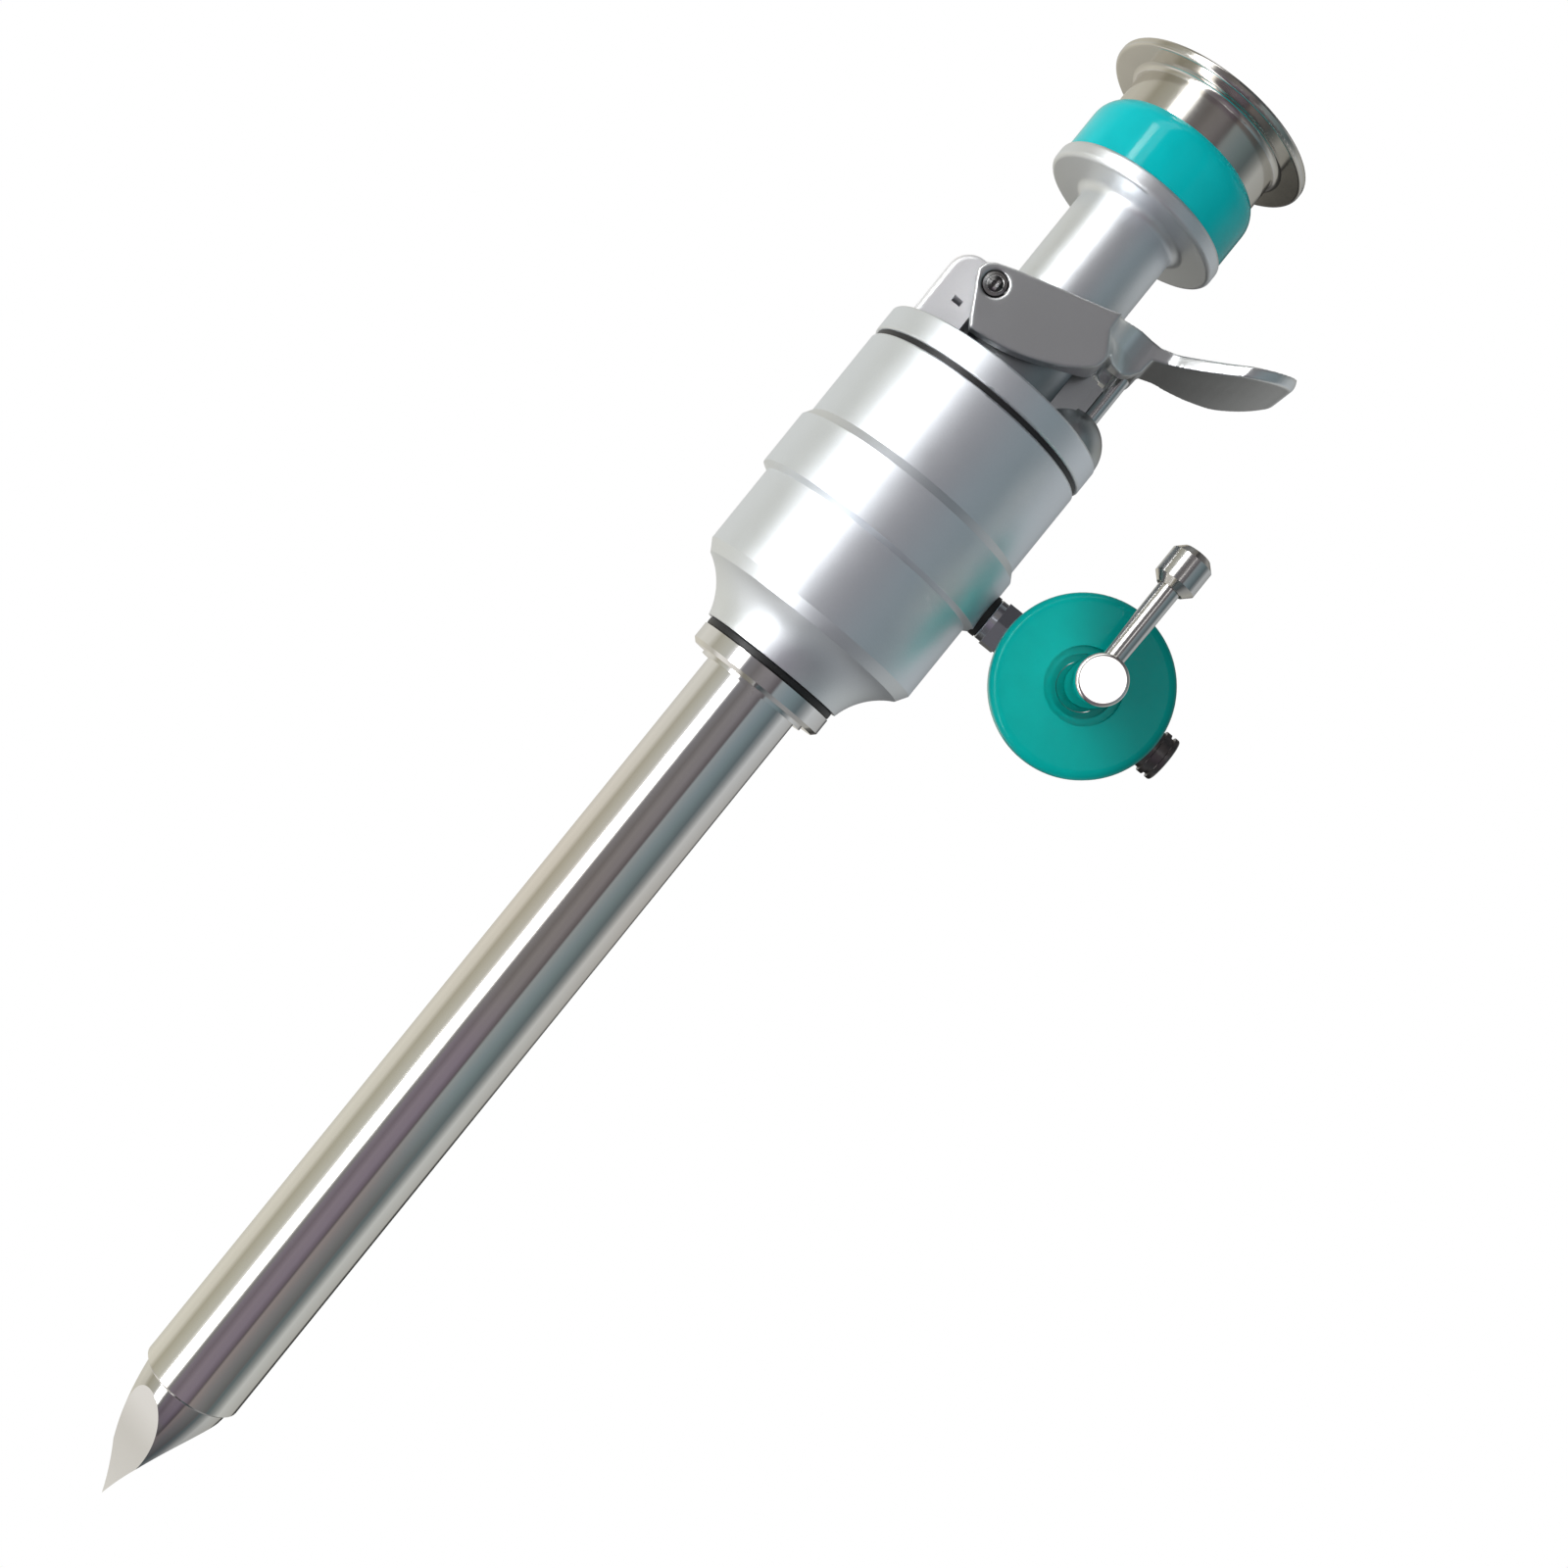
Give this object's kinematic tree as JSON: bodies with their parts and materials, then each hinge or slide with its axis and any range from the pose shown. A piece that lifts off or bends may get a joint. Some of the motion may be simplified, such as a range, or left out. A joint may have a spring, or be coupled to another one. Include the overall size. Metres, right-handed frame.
{
  "type": "laparoscopic trocar",
  "caption": "Reusable steel trocar: cannula with valve housing, thumb lever, flap valve, gas stopcock with a teal disc, and a pointed obturator.",
  "frame": {"origin": "on the cannula's axis, where the bare tube leaves the collar", "axes": "+Z along the cannula and up to the obturator's head, +X towards the stopcock's connector and the lever's paddle, -Y towards the stopcock's handle"},
  "size_m": [0.0531, 0.032, 0.1875],
  "materials": {
    "satin_steel": "satin, bead-blasted",
    "polished_steel": "mirror polished",
    "lever_steel": "satin with polished bevels",
    "inner_steel": "machined",
    "spring_steel": "drawn wire",
    "black_seal": "matte black",
    "pale_seal": "matte off-white",
    "teal_plastic": "glossy teal",
    "dark_fitting": "machined, ribbed"
  },
  "bodies": {
    "sleeve": {"cannula_tube": "polished_steel", "collar_ring": "polished_steel", "collar_seal": "black_seal", "housing_body": "satin_steel", "cap_seal": "black_seal", "housing_cap": "satin_steel", "neck_spool": "satin_steel", "seal_cap": "teal_plastic", "valve_seat": "pale_seal", "hinge_block": "satin_steel", "hinge_screws": "polished_steel", "lever_springs": "spring_steel", "rod_guide": "satin_steel", "rod_spring": "spring_steel", "flap_bracket": "inner_steel", "flap_axle": "inner_steel", "flap_springs": "spring_steel", "stem_washer": "black_seal", "stopcock_body": "polished_steel", "luer_connector": "dark_fitting"},
    "obturator": {"obturator_shaft": "polished_steel", "obturator_head": "polished_steel", "obturator_tip": "polished_steel"},
    "lever": {"thumb_lever": "lever_steel"},
    "rod": {"push_rod": "inner_steel"},
    "flap": {"flap": "inner_steel"},
    "tap": {"stopcock_plug": "polished_steel", "stopcock_disc": "teal_plastic", "handle_rod": "polished_steel", "handle_knob": "polished_steel", "plug_nut": "polished_steel", "plug_washer": "inner_steel"}
  },
  "joints": [
    {"name": "obturator_slide", "type": "slide", "parent": "sleeve", "child": "obturator", "axis": [0, 0, 1], "range_m": [0, 0.185]},
    {"name": "lever_press", "type": "hinge", "parent": "sleeve", "child": "lever", "pos_m": [-0.0064, 0, 0.0477], "axis": [0, 1, 0], "range_deg": [0, 10], "stiffness_Nm_per_rad": 0.3, "springref_deg": -20.05},
    {"name": "rod_push", "type": "slide", "parent": "sleeve", "child": "rod", "axis": [0, 0, -1], "range_m": [0, 0.0029], "deforming": ["rod_spring"]},
    {"name": "flap_swing", "type": "hinge", "parent": "sleeve", "child": "flap", "pos_m": [0.01095, 0, 0.0326], "axis": [0, -1, 0], "range_deg": [0, 8.6]},
    {"name": "stopcock_turn", "type": "hinge", "parent": "sleeve", "child": "tap", "pos_m": [0.02663, 0, 0.02193], "axis": [0, 1, 0], "range_deg": [0, 90]}
  ],
  "couplings": [
    {"joint": "rod_push", "follows": "lever_press", "m_per_rad": 0.01603},
    {"joint": "flap_swing", "follows": "lever_press", "ratio": 0.85}
  ]
}
